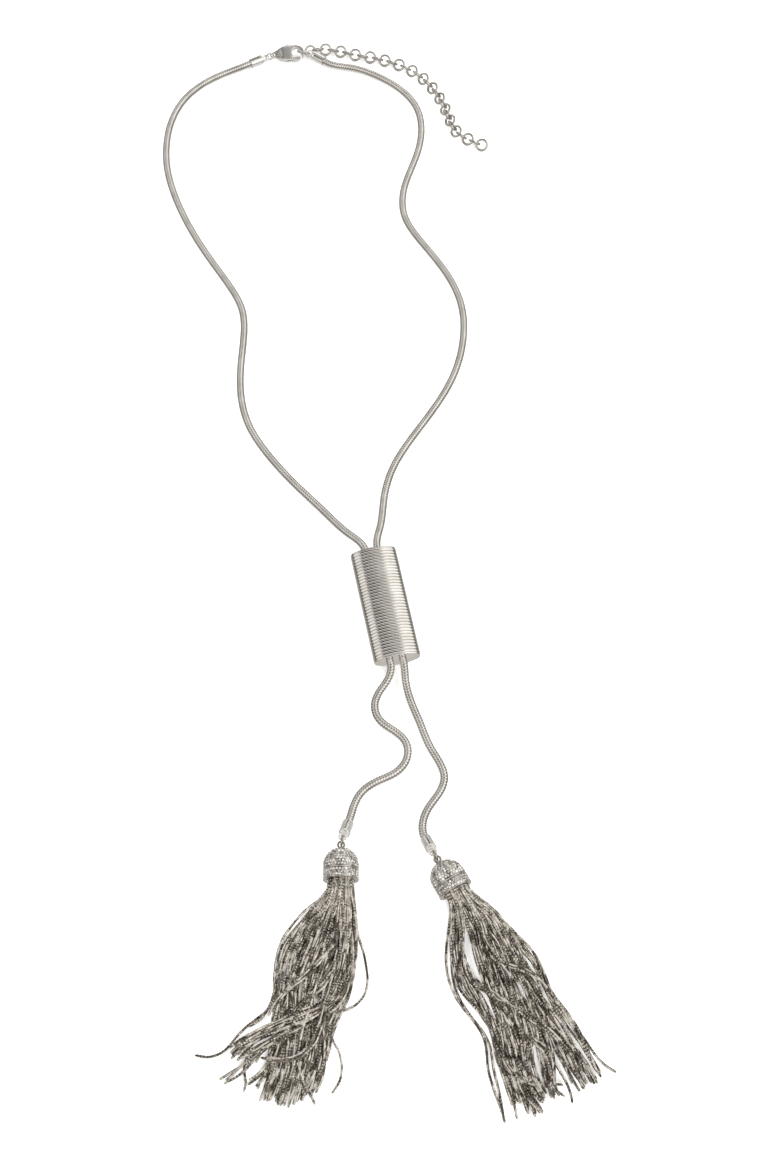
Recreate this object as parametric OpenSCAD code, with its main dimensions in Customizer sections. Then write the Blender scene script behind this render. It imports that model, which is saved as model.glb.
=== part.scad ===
// Lariat necklace: two snake chains run through a ribbed oval slider and end in two tassels.
// It lies flat: X to the right, Y towards the clasp, Z up from the surface it rests on.

/* [Snake chains] */
// Diameter of the round snake chain
chain_d = 2.4; // [2.2:0.1:2.4]
// Sides of the chain's tube
chain_sides = 8; // [8:2:12]

/* [Slider] */
// Width of the oval slider
slider_w = 14.2; // [13.8:0.1:14.6]
// Thickness of the oval slider
slider_t = 6.8; // [6.8:0.1:7.2]
// Radius of the oval's narrow sides
slider_side_r = 2.2; // [1.8:0.1:2.4]
// Length of the ribbed body between the end plates
slider_ribbed = 36.8; // [35:0.1:37]
// Thickness of each end plate
slider_plate = 0.6; // [0.4:0.1:0.8]
// Number of ribs
slider_ribs = 35; // [30:1:38]
// Depth of the grooves between the ribs
slider_groove = 0.35; // [0.2:0.05:0.4]
// Distance between the two bores
slider_bore_gap = 3.9; // [3.6:0.1:4.2]
// Clearance round a chain in its bore
slider_bore_clearance = 0.15; // [0.1:0.05:0.25]

/* [End caps] */
// Length of the folded crimp that grips the chain
crimp_l = 4.6; // [4:0.1:5]
// Outer diameter of the crimp
crimp_d = 3.3; // [3.2:0.1:3.4]
// Width of the slot where the crimp's wings meet
crimp_slot = 0.6; // [0.4:0.1:0.8]
// Thickness of the crimp's tab
tab_t = 0.6; // [0.5:0.1:0.7]
// Width of the crimp's tab
tab_w = 2.6; // [2.4:0.1:2.6]
// Radius of the hole in the tab
tab_hole_r = 0.75; // [0.7:0.05:0.8]

/* [Rings] */
// Wire diameter of the jump rings
ring_wire = 0.6; // [0.5:0.05:0.6]
// Centreline radius of the small jump rings
ring_r = 1.35; // [1.3:0.05:1.4]
// Centreline radius of the ring that the clasp hooks
hook_ring_r = 2.3; // [2.25:0.05:2.35]
// Lean of the hooked ring from upright
hook_ring_lean = 35; // [34:1:38]

/* [Extender chain] */
// Number of links
link_count = 31; // [20:1:31]
// Centreline radius of a link
link_r = 1.86; // [1.86:0.01:1.88]
// Wire diameter of a link
link_wire = 0.8; // [0.7:0.02:0.8]
// Spacing of the links along the chain
link_pitch = 2.75; // [2.73:0.01:2.76]
// Roll of the links about the chain, from flat
link_roll = 38; // [37:1:39]

/* [Clasp] */
// Thickness of the clasp's middle
clasp_t = 2.4; // [2.2:0.1:2.4]
// Thickness of the clasp's hook
hook_t = 1.8; // [1.6:0.1:1.8]
// Thickness of the clasp's eye
eye_t = 0.9; // [0.8:0.1:0.9]
// Outer radius of the hook
hook_r = 3.2; // [3.2:0.05:3.25]
// Turn of the clasp about Z
clasp_turn = 5; // [4:1:6]
// Tilt of the clasp about its length, near edge down
clasp_tilt = 15; // [12:1:15]
// Radius of the lever's pin
pin_r = 0.35; // [0.3:0.01:0.36]
// Running clearance of the lever on its pin
pin_clearance = 0.07; // [0.05:0.01:0.08]
// Thickness of the lever inside the clasp
lever_t = 0.8; // [0.7:0.05:0.85]
// Gap on each side of the lever
lever_gap = 0.2; // [0.15:0.05:0.2]

/* [Tassels] */
// Diameter of a tassel cap
cap_d = 9.6; // [9.4:0.1:9.8]
// Length of the straight part of a cap below its dome
cap_skirt = 4.4; // [4.2:0.1:4.6]
// Wall of a cap
cap_wall = 0.9; // [0.8:0.1:1.0]
// Raised height of the cap's bands
cap_band = 0.15; // [0.1:0.05:0.2]
// Downward tilt of a cap's open end
cap_tilt = 6; // [4:1:8]
// Thickness of one layer of fringe
lock_t = 1.7; // [1.5:0.1:1.8]
// Sections along each lock of the fringe
lock_steps = 3; // [2:1:4]

/* [Hidden] */

$fn = 48;
silver = "silver";
hematite = "dimgray";
chain_r = chain_d / 2;
wire_r = ring_wire / 2;
link_wire_r = link_wire / 2;
overlap = 0.4;

// Slider: centre of its axis, and its turn about Z
slider_centre = [8.5, -39];
slider_turn = 11.3;
slider_l = slider_ribbed + 2 * slider_plate;
slider_z = slider_t / 2;
slider_bore_shift = -0.35;
slider_bore_r = chain_r + slider_bore_clearance;
// Straight stretch of chain outside each end of a bore
slider_lead = 1.6;

// Clasp: place of its eye, and the main points of its outline in its own plane
clasp_eye = [-31.9, 188.4, 2.1];
eye_r = 1.15;
eye_hole_r = 0.7;
hook_centre = [7.95, 0.3];
hole_centre = [8.2, 0.3];
hole_r = 1.45;
hole_half = 0.45;
pivot = [4.8, -1.2];
hub_r = 0.85;
hook_tip_x = 10.05;
hook_tip_top = 0.35;
gate_start_x = 7.3;
gate_end_x = 9.7;
gate_top = -1.45;
gate_t = 2.0;
jaw_end_x = 7.0;
eye_end_x = 1.3;
eye_taper_x = 2.8;
hook_start_x = 7.6;

// Hooked ring: its centre in the clasp's plane, and its heading
hooked_centre = [10.9, 0.45];
hooked_heading = -12;

// End caps: length from the mouth to the tab's hole, and where the chain ends inside
tab_hole_x = crimp_l + 1.6;
crimp_bore_r = chain_r + 0.12;
chain_inset = crimp_l - 0.9;
crimp_lead = 1.6;

// Tassel caps: centre of each dome, and the heading of its open end
cap_r = cap_d / 2;
cap_z = cap_skirt * sin(cap_tilt) + (cap_r + cap_band) * cos(cap_tilt);
cap_left = [-3.7, -123.6, cap_z];
cap_left_heading = -90;
cap_right = [26.2, -127.2, cap_z];
cap_right_heading = -60;
eyelet_r = 0.9;
eyelet_wire_r = 0.3;
eyelet_rise = 1.1;
fringe_head_r = 3.2;
// Half width over which the locks leave a cap
lock_mouth = 2.1;

// Headings from each tassel's eyelet to its ring, and on to its end cap, with their slope
ring_left_heading = 82;
end_cap_left_heading = 75;
ring_right_heading = 116;
end_cap_right_heading = 111;
ring_slope = 15;
end_cap_slope = 25;

// Headings from the clasp's rings to the end caps beside them
ring_clasp_heading = 195;
end_cap_clasp_heading = 208;
end_cap_ring_heading = -32;
clasp_end_cap_z = 1.75;

// Route of the left chain from the clasp's end cap to the slider
route_left_neck = [
  [-50, 180, 1.2], [-57, 175, 1.2], [-62.5, 168.5, 1.2], [-66.5, 159, 1.2], [-68, 147, 1.2],
  [-67, 135, 1.2], [-63.5, 122.5, 1.2], [-57, 107.5, 1.2], [-50, 95, 1.2], [-43, 83.5, 1.2],
  [-39, 74.5, 1.2], [-38, 64, 1.2], [-38.5, 52, 1.2], [-38, 39.5, 1.2], [-35, 28, 1.2],
  [-29, 17.5, 1.2], [-19.5, 5.5, 1.2], [-10, -5, 1.4], [-2.5, -13.5, 2.6]];

// Route of the left chain from the slider to its tassel
route_left_tail = [
  [9.2, -64, 2.4], [6.8, -67.5, 1.5], [5.5, -71.5, 1.2], [7, -76.5, 1.2], [11, -79.8, 1.2],
  [14.5, -83.5, 1.2], [15, -88.5, 1.2], [11.8, -93.2, 1.2], [6.5, -96, 1.2], [1.5, -100, 1.2],
  [-0.7, -105, 1.3]];

// Route of the right chain from the hooked ring's end cap to the slider
route_right_neck = [
  [-4.5, 183.5, 1.2], [5, 179.5, 1.2], [13, 173.5, 1.2], [19, 165, 1.2], [21, 154, 1.2],
  [19, 141, 1.2], [15, 127.5, 1.2], [15, 114.5, 1.2], [20.5, 103.5, 1.2], [28.5, 90.5, 1.2],
  [33.5, 77, 1.2], [34, 62.5, 1.2], [30.5, 47.5, 1.2], [24, 34.5, 1.2], [16.5, 22.5, 1.2],
  [11, 12, 1.2], [8.2, 1, 1.4], [7, -10.5, 2.5]];

// Route of the right chain from the slider to its tassel
route_right_tail = [
  [14.6, -64, 2.5], [16, -70, 1.5], [18.8, -77.5, 1.2], [21.5, -84.8, 1.2], [24.5, -90.5, 1.2],
  [25.7, -95, 1.2], [24, -100, 1.2], [21, -104.5, 1.2], [19.3, -109.5, 1.3]];

// Route of the extender chain from the hooked ring
route_extender = [
  [-18.58, 190.86, 1.63], [-15.42, 191.45, 1.95], [-9.5, 190.8, 1.95], [-1, 188.4, 1.95],
  [4.5, 187.2, 1.95], [10, 185.3, 1.95], [15.3, 182.8, 1.95], [20, 179.2, 1.95],
  [23.7, 174.8, 1.95], [26.7, 169.8, 1.95], [29, 164.3, 1.95], [30.8, 158.5, 1.95],
  [33, 152.6, 1.95], [37.3, 148.6, 1.95], [43, 145.5, 1.95]];

// Locks of the fringes: place across the cap's mouth from -1 to 1, three points of the route,
// the tip, the layer from the surface up, and the width
LOCK_SIDE = 0;
LOCK_P1 = 1;
LOCK_P2 = 2;
LOCK_P3 = 3;
LOCK_TIP = 4;
LOCK_LAYER = 5;
LOCK_W = 6;
locks_left = [
  [-0.9, [-16.5, -141.5], [-20.5, -155], [-20.5, -169], [-25.5, -188.5], 0, 4.6],
  [-0.6, [-13, -142], [-16.5, -156], [-17.5, -171], [-22, -190], 0, 4.6],
  [-0.3, [-9.5, -142.5], [-12.5, -156], [-14.5, -172], [-18, -189.5], 0, 4.6],
  [0.1, [-6, -143], [-8.5, -156], [-11.5, -172], [-14, -188.5], 0, 4.4],
  [0.5, [-3, -143], [-5, -157], [-9, -171], [-10.7, -187.5], 0, 3.8],
  [0.9, [-0.8, -143], [-1.3, -154.5], [-5.5, -166], [-9.5, -181], 1, 3.6],
  [-0.7, [-14, -139.5], [-19, -150.5], [-20, -162], [-26.5, -179], 1, 4.2],
  [-0.2, [-9, -140], [-13.5, -153], [-15.5, -165], [-20, -185], 1, 4.6],
  [0.2, [-4.5, -140], [-8, -153], [-10.5, -167], [-16, -183], 1, 4.6],
  [0.6, [-0.8, -141], [-2.2, -156], [-16.5, -168.5], [-32.5, -177.5], 2, 4.4],
  [0.8, [0, -142], [-3, -160.5], [-16, -173], [-29, -179], 2, 3.2]];
locks_right = [
  [-0.9, [27.5, -146], [28.3, -157], [34, -170], [40.5, -192.7], 0, 3.4],
  [-0.6, [29, -147], [31.5, -160], [38, -173], [44, -191.5], 0, 4],
  [-0.2, [33, -145.5], [37.5, -159], [42.5, -174], [48, -192.7], 0, 4.4],
  [0.1, [35.5, -145], [41.5, -158], [46.5, -173], [51.5, -190.5], 0, 4.4],
  [0.4, [38, -144.5], [45.5, -157], [50.5, -171], [56, -188], 0, 4.4],
  [0.7, [40, -144], [49, -156], [55, -169.5], [60.8, -186.5], 0, 4.4],
  [0.95, [41.3, -143.5], [51.3, -155.5], [58, -168.5], [65.3, -184.5], 0, 4.4],
  [-0.5, [30, -144], [33, -158.5], [41, -173.5], [50.5, -187.5], 1, 4],
  [0.15, [35, -142], [42, -155], [50.5, -168.5], [61.5, -182.5], 1, 4.2],
  [0.7, [38.8, -141.5], [47.5, -153.5], [55, -166], [68.79, -181], 1, 3.2],
  [0.45, [37, -141.5], [43.5, -153.5], [45.5, -168], [46.5, -186], 1, 4]];

// Vectors and curves

function unit(v) = v / norm(v);

// Direction with heading h about Z and slope s above the horizontal
function along(h, s) = [cos(h) * cos(s), sin(h) * cos(s), sin(s)];

// Tangent of a path at its point i
function tangent(path, i) =
  unit(path[min(i + 1, len(path) - 1)] - path[max(i - 1, 0)]);

// Point between b and c on a smooth curve through a, b, c and d
function curve_point(a, b, c, d, t) =
  0.5 * (2 * b + (c - a) * t + (2 * a - 5 * b + 4 * c - d) * t * t
         + (3 * b - a - 3 * c + d) * t * t * t);

// Smooth path through the points, with n steps between each two
function smooth(p, n) = concat(
  [for (i = [0 : len(p) - 2])
     for (k = [0 : n - 1])
       curve_point(p[max(i - 1, 0)], p[i], p[i + 1], p[min(i + 2, len(p) - 1)], k / n)],
  [p[len(p) - 1]]);

// Ring of points round a path's point, with half width w and half height h
function section(path, i, w, h, sides) =
  let (t = tangent(path, i), across = unit(cross([0, 0, 1], t)), up = cross(t, across))
  [for (k = [0 : sides - 1])
     path[i] + w * cos(360 * k / sides) * across + h * sin(360 * k / sides) * up];

// Solid swept through the rings of points
module swept(rings) {
  n = len(rings[0]);
  last = len(rings) - 1;
  polyhedron(
    points = [for (ring = rings) for (p = ring) p],
    faces = concat(
      [[for (k = [0 : n - 1]) k]],
      [for (i = [0 : last - 1])
         for (k = [0 : n - 1])
           [i * n + k, (i + 1) * n + k, (i + 1) * n + (k + 1) % n, i * n + (k + 1) % n]],
      [[for (k = [n - 1 : -1 : 0]) last * n + k]]),
    convexity = 10);
}

// Children with their X axis along heading h and slope s, at point p
module aim(p, h, s) {
  translate(p)
    rotate([0, -s, h])
      children();
}

// Closed ring of wire in the XY plane
module wire_ring(r, wire) {
  rotate_extrude()
    translate([r, 0])
      circle(r = wire);
}

// Slider

function slider_point(across, down, z) =
  [slider_centre[0] + across * cos(slider_turn) + down * sin(slider_turn),
   slider_centre[1] + across * sin(slider_turn) - down * cos(slider_turn),
   z];

function bore_across(side) = slider_bore_shift + side * slider_bore_gap / 2;

// Oval of four arcs: two flat ones above and below, two tight ones at the sides
module oval(w, t, side_r) {
  reach = w / 2 - side_r;
  flat_r = (pow(reach, 2) + pow(t / 2, 2) - pow(side_r, 2)) / (t - 2 * side_r);
  meet_x = reach * flat_r / (flat_r - side_r);
  intersection() {
    translate([0, t / 2 - flat_r])
      circle(r = flat_r, $fn = 96);
    translate([0, flat_r - t / 2])
      circle(r = flat_r, $fn = 96);
    square([2 * meet_x, 2 * t], center = true);
  }
  for (side = [-1, 1])
    translate([side * reach, 0])
      circle(r = side_r);
}

module slider_slice(from, to, inset) {
  translate([0, 0, from])
    linear_extrude(to - from)
      oval(slider_w - 2 * inset, slider_t - 2 * inset, slider_side_r - inset);
}

module slider() {
  pitch = slider_ribbed / slider_ribs;
  color(silver)
    translate([slider_centre[0], slider_centre[1], slider_z])
      rotate([90, 0, slider_turn])
        difference() {
          union() {
            slider_slice(-slider_l / 2, slider_l / 2, slider_groove);
            for (i = [0 : slider_ribs - 1])
              slider_slice(-slider_ribbed / 2 + (i + 0.15) * pitch,
                           -slider_ribbed / 2 + (i + 0.85) * pitch, 0);
            for (end = [-1, 1])
              slider_slice(end * (slider_l - slider_plate) / 2 - slider_plate / 2,
                           end * (slider_l - slider_plate) / 2 + slider_plate / 2, 0.1);
          }
          for (side = [-1, 1])
            translate([bore_across(side), 0, 0])
              cylinder(r = slider_bore_r, h = slider_l + 2, center = true);
        }
}

// End caps

// Folded crimp with its mouth at the origin and its tab along X
module end_cap_shape() {
  difference() {
    rotate([0, 90, 0])
      cylinder(d = crimp_d, h = crimp_l);
    translate([-1, 0, 0])
      rotate([0, 90, 0])
        cylinder(r = crimp_bore_r, h = crimp_l - 0.6 + 1);
    translate([-1, -crimp_slot / 2, 0])
      cube([crimp_l - 0.6 + 1, crimp_slot, crimp_d]);
  }
  difference() {
    union() {
      translate([crimp_l - overlap, -tab_w / 2, -tab_t / 2])
        cube([tab_hole_x - crimp_l + overlap, tab_w, tab_t]);
      translate([tab_hole_x - 0.1, 0, -tab_t / 2])
        cylinder(d = tab_w, h = tab_t);
    }
    translate([tab_hole_x, 0, -tab_t])
      cylinder(r = tab_hole_r, h = 2 * tab_t);
  }
}

// End cap whose tab hole is at the point, and whose chain leaves along the heading
module end_cap(hole, h, s, roll = 0) {
  color(silver)
    translate(hole)
      rotate([roll, -s, h])
        rotate([0, 0, 180])
          translate([-tab_hole_x, 0, 0])
            end_cap_shape();
}

// Points of chain in and beside an end cap: inside it, at its mouth and just outside it
function crimp_points(hole, h, s) =
  [for (x = [tab_hole_x - chain_inset, tab_hole_x, tab_hole_x + crimp_lead])
     hole + x * along(h, s)];

// Clasp

function clasp_point(p) =
  let (y = p[1] * cos(clasp_tilt) - p[2] * sin(clasp_tilt),
       z = p[1] * sin(clasp_tilt) + p[2] * cos(clasp_tilt))
  clasp_eye + [p[0] * cos(clasp_turn) - y * sin(clasp_turn),
               p[0] * sin(clasp_turn) + y * cos(clasp_turn), z];

module in_clasp() {
  translate(clasp_eye)
    rotate([0, 0, clasp_turn])
      rotate([clasp_tilt, 0, 0])
        children();
}

// Plate in the clasp's plane, t thick, about its middle
module clasp_plate(t) {
  translate([0, 0, -t / 2])
    linear_extrude(t)
      children();
}

module clasp_outline() {
  difference() {
    union() {
      circle(r = eye_r);
      translate(hook_centre)
        circle(r = hook_r, $fn = 96);
      polygon([[-0.2, 1], [3.6, 3.1], [5.2, 3.55], [8, 3.45], [7, -2.4], [4.6, -2.6],
               [2.4, -1.9], [0.4, -1]]);
    }
    circle(r = eye_hole_r);
    for (end = [-1, 1])
      translate(hole_centre + [0, end * hole_half])
        circle(r = hole_r);
    translate(hole_centre)
      square([2 * hole_r, 2 * hole_half], center = true);
    translate([jaw_end_x, -hook_r])
      square([hook_tip_x - jaw_end_x, hook_r + hook_tip_top]);
  }
}

// Cut above and below that thins the hook
module hook_thinner() {
  for (side = [-1, 1])
    translate([hook_start_x, -2 * hook_r, side * (hook_t / 2 + clasp_t) - clasp_t])
      cube([2 * hook_centre[0] - hook_start_x, 4 * hook_r, 2 * clasp_t]);
}

// Cut above and below that tapers the clasp down to its eye
module eye_taper() {
  for (side = [-1, 1])
    rotate([side * 90, 0, 0])
      translate([0, 0, -2 * hook_r])
        linear_extrude(4 * hook_r)
          polygon([[-2 * eye_r, eye_t / 2], [eye_end_x, eye_t / 2], [eye_taper_x, clasp_t / 2],
                   [eye_taper_x, clasp_t], [-2 * eye_r, clasp_t]]);
}

// Space in which the lever swings between the clasp's two cheeks
module lever_slot() {
  translate(pivot)
    circle(r = hub_r + 0.3);
  polygon([pivot + [-1.1, 0], pivot + [-3.6, 6], pivot + [1.8, 6], pivot + [1.1, 0]]);
  translate(pivot + [0, -1.7])
    square([4, 3.55]);
}

module clasp_body() {
  color(silver)
    in_clasp() {
      difference() {
        clasp_plate(clasp_t)
          clasp_outline();
        clasp_plate(lever_t + 2 * lever_gap)
          lever_slot();
        eye_taper();
        hook_thinner();
      }
      translate([pivot[0], pivot[1], -clasp_t / 2 + 0.2])
        cylinder(r = pin_r, h = clasp_t - 0.4);
    }
}

// Gate that closes the hook, inside the hook's outer circle
module gate_outline() {
  intersection() {
    translate(hook_centre)
      circle(r = hook_r, $fn = 96);
    translate([gate_start_x, -hook_r])
      square([gate_end_x - gate_start_x, hook_r + gate_top]);
  }
}

module clasp_lever() {
  color(silver)
    in_clasp()
      difference() {
        union() {
          clasp_plate(lever_t) {
            translate(pivot)
              circle(r = hub_r);
            polygon([pivot + [-0.6, 0.3], pivot + [-0.3, 4.6], pivot + [0, 5.3], pivot + [0.8, 5.2],
                     pivot + [0.9, 4.5], pivot + [0.7, 0.3]]);
            polygon([pivot + [0, 0.7], [gate_start_x + 0.5, gate_top], [gate_start_x + 0.5, gate_top - 1],
                     pivot + [0, -0.8]]);
          }
          clasp_plate(gate_t)
            gate_outline();
        }
        translate([pivot[0], pivot[1], -clasp_t])
          cylinder(r = pin_r + pin_clearance, h = 2 * clasp_t);
      }
}

// Rings

// Upright ring whose centre is r along the heading from the point it hangs on
module ring_from(p, h, s) {
  color(silver)
    translate(p + ring_r * along(h, s))
      rotate([0, -s, h])
        rotate([90, 0, 0])
          wire_ring(ring_r, wire_r);
}

ring_clasp_slope = asin((clasp_end_cap_z - clasp_eye[2]) / (2 * ring_r));
end_cap_clasp_hole = clasp_eye + 2 * ring_r * along(ring_clasp_heading, ring_clasp_slope);
hooked_middle = clasp_point([hooked_centre[0], hooked_centre[1], 0]);
end_cap_ring_hole = hooked_middle + hook_ring_r * along(hooked_heading, 0);
end_cap_ring_slope = asin((clasp_end_cap_z - end_cap_ring_hole[2]) / tab_hole_x);

module ring_hooked() {
  color(silver)
    translate(hooked_middle)
      rotate([0, 0, hooked_heading])
        rotate([90 + hook_ring_lean, 0, 0])
          wire_ring(hook_ring_r, wire_r);
}

// Extender chain

// Lengths along a path up to each of its points
function lengths(path, i = 0, sum = 0) =
  i >= len(path) - 1
  ? [sum]
  : concat([sum], lengths(path, i + 1, sum + norm(path[i + 1] - path[i])));

// Point at a given length along a path
function at_length(path, sums, want) =
  let (i = max([for (k = [0 : len(sums) - 2]) sums[k] <= want ? k : 0]))
  path[i] + (path[i + 1] - path[i]) * (want - sums[i]) / (sums[i + 1] - sums[i]);

module extender_chain() {
  path = smooth(route_extender, 12);
  sums = lengths(path);
  centres = [for (i = [0 : link_count - 1]) at_length(path, sums, i * link_pitch)];
  color(silver)
    for (i = [0 : link_count - 1]) {
      t = tangent(centres, i);
      aim(centres[i], atan2(t[1], t[0]), asin(t[2]))
        rotate([link_roll + (i % 2) * 90, 0, 0])
          wire_ring(link_r, link_wire_r);
    }
}

// Tassels

function eyelet(cap, h) = cap - (cap_r + eyelet_rise) * along(h, -cap_tilt);

// Outline of a cap's wall, as [radius, distance towards the open end]
function cap_profile() = concat(
  [for (a = [0 : 9 : 90]) [cap_r * sin(a), -cap_r * cos(a)]],
  [[cap_r, 1.2], [cap_r + cap_band, 1.3], [cap_r + cap_band, 1.6], [cap_r, 1.7],
   [cap_r, cap_skirt - 0.5], [cap_r + cap_band, cap_skirt - 0.4], [cap_r + cap_band, cap_skirt],
   [cap_r - cap_wall, cap_skirt]],
  [for (a = [90 : -9 : 0]) (cap_r - cap_wall) * [sin(a), -cos(a)]]);

module tassel_cap(cap, h) {
  color(silver)
    aim(cap, h, -cap_tilt) {
      rotate([0, 90, 0])
        rotate_extrude()
          polygon(cap_profile());
      translate([-cap_r - eyelet_rise, 0, 0])
        wire_ring(eyelet_r, eyelet_wire_r);
    }
}

// Height of the middle of a fringe layer
function layer_z(layer) = lock_t * (0.5 + 0.75 * layer);

// Route of one lock from inside the cap to its tip
function lock_route(lock, cap, h) =
  let (d = along(h, -cap_tilt),
       across = [-sin(h), cos(h), 0],
       up = [0, 0, 0.9 * lock[LOCK_LAYER] - 0.9],
       mouth = cap + cap_skirt * d + lock[LOCK_SIDE] * lock_mouth * across + up,
       z = layer_z(lock[LOCK_LAYER]))
  [mouth - 2 * d,
   mouth + 1.2 * d,
   [lock[LOCK_P1][0], lock[LOCK_P1][1], z + 1.2],
   [lock[LOCK_P2][0], lock[LOCK_P2][1], z],
   [lock[LOCK_P3][0], lock[LOCK_P3][1], z],
   [lock[LOCK_TIP][0], lock[LOCK_TIP][1], z]];

// Share of a lock's full width at a share of its way: narrow in the cap and at the tip
function lock_share(s) = min(1, 0.25 + 1.8 * s, 0.35 + 4 * (1 - s));

module lock(route, w) {
  path = smooth(route, lock_steps);
  last = len(path) - 1;
  swept([for (i = [0 : last])
           section(path, i, w / 2 * lock_share(i / last), lock_t / 2, 6)]);
}

module tassel_fringe(locks, cap, h) {
  d = along(h, -cap_tilt);
  color(hematite) {
    aim(cap + 0.2 * d, h, -cap_tilt)
      rotate([0, 90, 0])
        cylinder(r = fringe_head_r, h = cap_skirt - 0.6, $fn = 16);
    for (row = locks) {
      route = lock_route(row, cap, h);
      lock(route, row[LOCK_W]);
      hull() {
        aim(cap + 0.2 * d, h, -cap_tilt)
          rotate([0, 90, 0])
            cylinder(r = fringe_head_r, h = 0.8, $fn = 16);
        translate(route[0])
          sphere(r = lock_t / 2, $fn = 8);
      }
    }
  }
}

// Chains

// Whole way of a chain: end cap, neck, straight through the slider, tail and end cap
function chain_path(start, neck, side, tail, end) =
  let (across = bore_across(side), half = slider_l / 2)
  concat(
    start,
    neck,
    [for (down = [-half - slider_lead, -half, half, half + slider_lead])
       slider_point(across, down, slider_z)],
    tail,
    end);

function reversed(list) = [for (i = [len(list) - 1 : -1 : 0]) list[i]];

left_eyelet = eyelet(cap_left, cap_left_heading);
right_eyelet = eyelet(cap_right, cap_right_heading);
left_hole = left_eyelet + 2 * ring_r * along(ring_left_heading, -ring_slope);
right_hole = right_eyelet + 2 * ring_r * along(ring_right_heading, -ring_slope);

module chain(path) {
  color(silver)
    swept([for (i = [0 : len(path) - 1]) section(path, i, chain_r, chain_r, chain_sides)]);
}

module chain_left() {
  chain(chain_path(crimp_points(end_cap_clasp_hole, end_cap_clasp_heading, 0),
                   route_left_neck, -1, route_left_tail,
                   reversed(crimp_points(left_hole, end_cap_left_heading, -end_cap_slope))));
}

module chain_right() {
  chain(chain_path(crimp_points(end_cap_ring_hole, end_cap_ring_heading, end_cap_ring_slope),
                   route_right_neck, 1, route_right_tail,
                   reversed(crimp_points(right_hole, end_cap_right_heading, -end_cap_slope))));
}

// Pieces by name

module end_cap_clasp() { end_cap(end_cap_clasp_hole, end_cap_clasp_heading, 0); }

module end_cap_ring() {
  end_cap(end_cap_ring_hole, end_cap_ring_heading, end_cap_ring_slope, hook_ring_lean);
}

module end_cap_tassel_left() { end_cap(left_hole, end_cap_left_heading, -end_cap_slope); }

module end_cap_tassel_right() { end_cap(right_hole, end_cap_right_heading, -end_cap_slope); }

module ring_clasp() { ring_from(clasp_eye, ring_clasp_heading, ring_clasp_slope); }

module ring_tassel_left() { ring_from(left_eyelet, ring_left_heading, -ring_slope); }

module ring_tassel_right() { ring_from(right_eyelet, ring_right_heading, -ring_slope); }

module tassel_cap_left() { tassel_cap(cap_left, cap_left_heading); }

module tassel_cap_right() { tassel_cap(cap_right, cap_right_heading); }

module tassel_fringe_left() { tassel_fringe(locks_left, cap_left, cap_left_heading); }

module tassel_fringe_right() { tassel_fringe(locks_right, cap_right, cap_right_heading); }

chain_left();
chain_right();
slider();
clasp_body();
clasp_lever();
end_cap_clasp();
end_cap_ring();
end_cap_tassel_left();
end_cap_tassel_right();
ring_clasp();
ring_hooked();
ring_tassel_left();
ring_tassel_right();
extender_chain();
tassel_cap_left();
tassel_cap_right();
tassel_fringe_left();
tassel_fringe_right();
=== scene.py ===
"""Looks of the tassel necklace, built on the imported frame. Lengths in this file are in millimetres
until a mesh is made, where they become metres."""

import math

import bmesh
import bpy
import numpy as np
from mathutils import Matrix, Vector


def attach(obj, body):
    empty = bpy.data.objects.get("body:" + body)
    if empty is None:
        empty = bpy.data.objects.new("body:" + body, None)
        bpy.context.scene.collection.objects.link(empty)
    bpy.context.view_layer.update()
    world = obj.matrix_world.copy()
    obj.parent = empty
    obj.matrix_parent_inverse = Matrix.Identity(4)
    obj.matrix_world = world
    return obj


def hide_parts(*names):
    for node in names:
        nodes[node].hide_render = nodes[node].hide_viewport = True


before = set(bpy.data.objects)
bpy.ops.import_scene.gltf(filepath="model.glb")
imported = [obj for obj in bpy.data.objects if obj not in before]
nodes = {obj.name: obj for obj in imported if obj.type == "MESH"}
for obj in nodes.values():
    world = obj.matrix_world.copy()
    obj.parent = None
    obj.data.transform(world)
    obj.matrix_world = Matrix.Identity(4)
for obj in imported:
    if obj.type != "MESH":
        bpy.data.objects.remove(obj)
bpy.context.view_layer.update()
rng = np.random.default_rng(7)

BODY = "necklace"
MM = 0.001

# Sizes and routes that part.scad gives, in millimetres

CHAIN_R = 1.2
SLIDER_W = 14.2
SLIDER_T = 6.8
SLIDER_SIDE_R = 2.2
SLIDER_RIBBED = 36.8
SLIDER_PLATE = 0.6
SLIDER_RIBS = 35
SLIDER_L = SLIDER_RIBBED + 2 * SLIDER_PLATE
SLIDER_CENTRE = np.array([8.5, -39.0])
SLIDER_TURN = 11.3
SLIDER_LEAD = 1.6
BORE_R = 1.35
BORE_X = (-2.3, 1.6)
CAP_R = 4.8
CAP_SKIRT = 4.4
CAP_BAND = 0.15
CAP_TILT = 6.0
EYELET_RISE = 1.1
RING_R = 1.35
CRIMP_HOLE_X = 6.2
CRIMP_INSET = 3.7
CRIMP_LEAD = 1.6

CLASP_EYE = np.array([-31.9, 188.4, 2.1])
CLASP_TURN = 5.0
CLASP_TILT = 15.0
HOOKED_CENTRE = (10.9, 0.45)
HOOKED_HEADING = -12.0
HOOK_RING_R = 2.3
RING_CLASP_HEADING = 195.0
END_CAP_CLASP_HEADING = 208.0
END_CAP_RING_HEADING = -32.0
CLASP_END_CAP_Z = 1.75
RING_LEFT_HEADING = 82.0
END_CAP_LEFT_HEADING = 75.0
RING_RIGHT_HEADING = 116.0
END_CAP_RIGHT_HEADING = 111.0
RING_SLOPE = 15.0
END_CAP_SLOPE = 25.0

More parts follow.
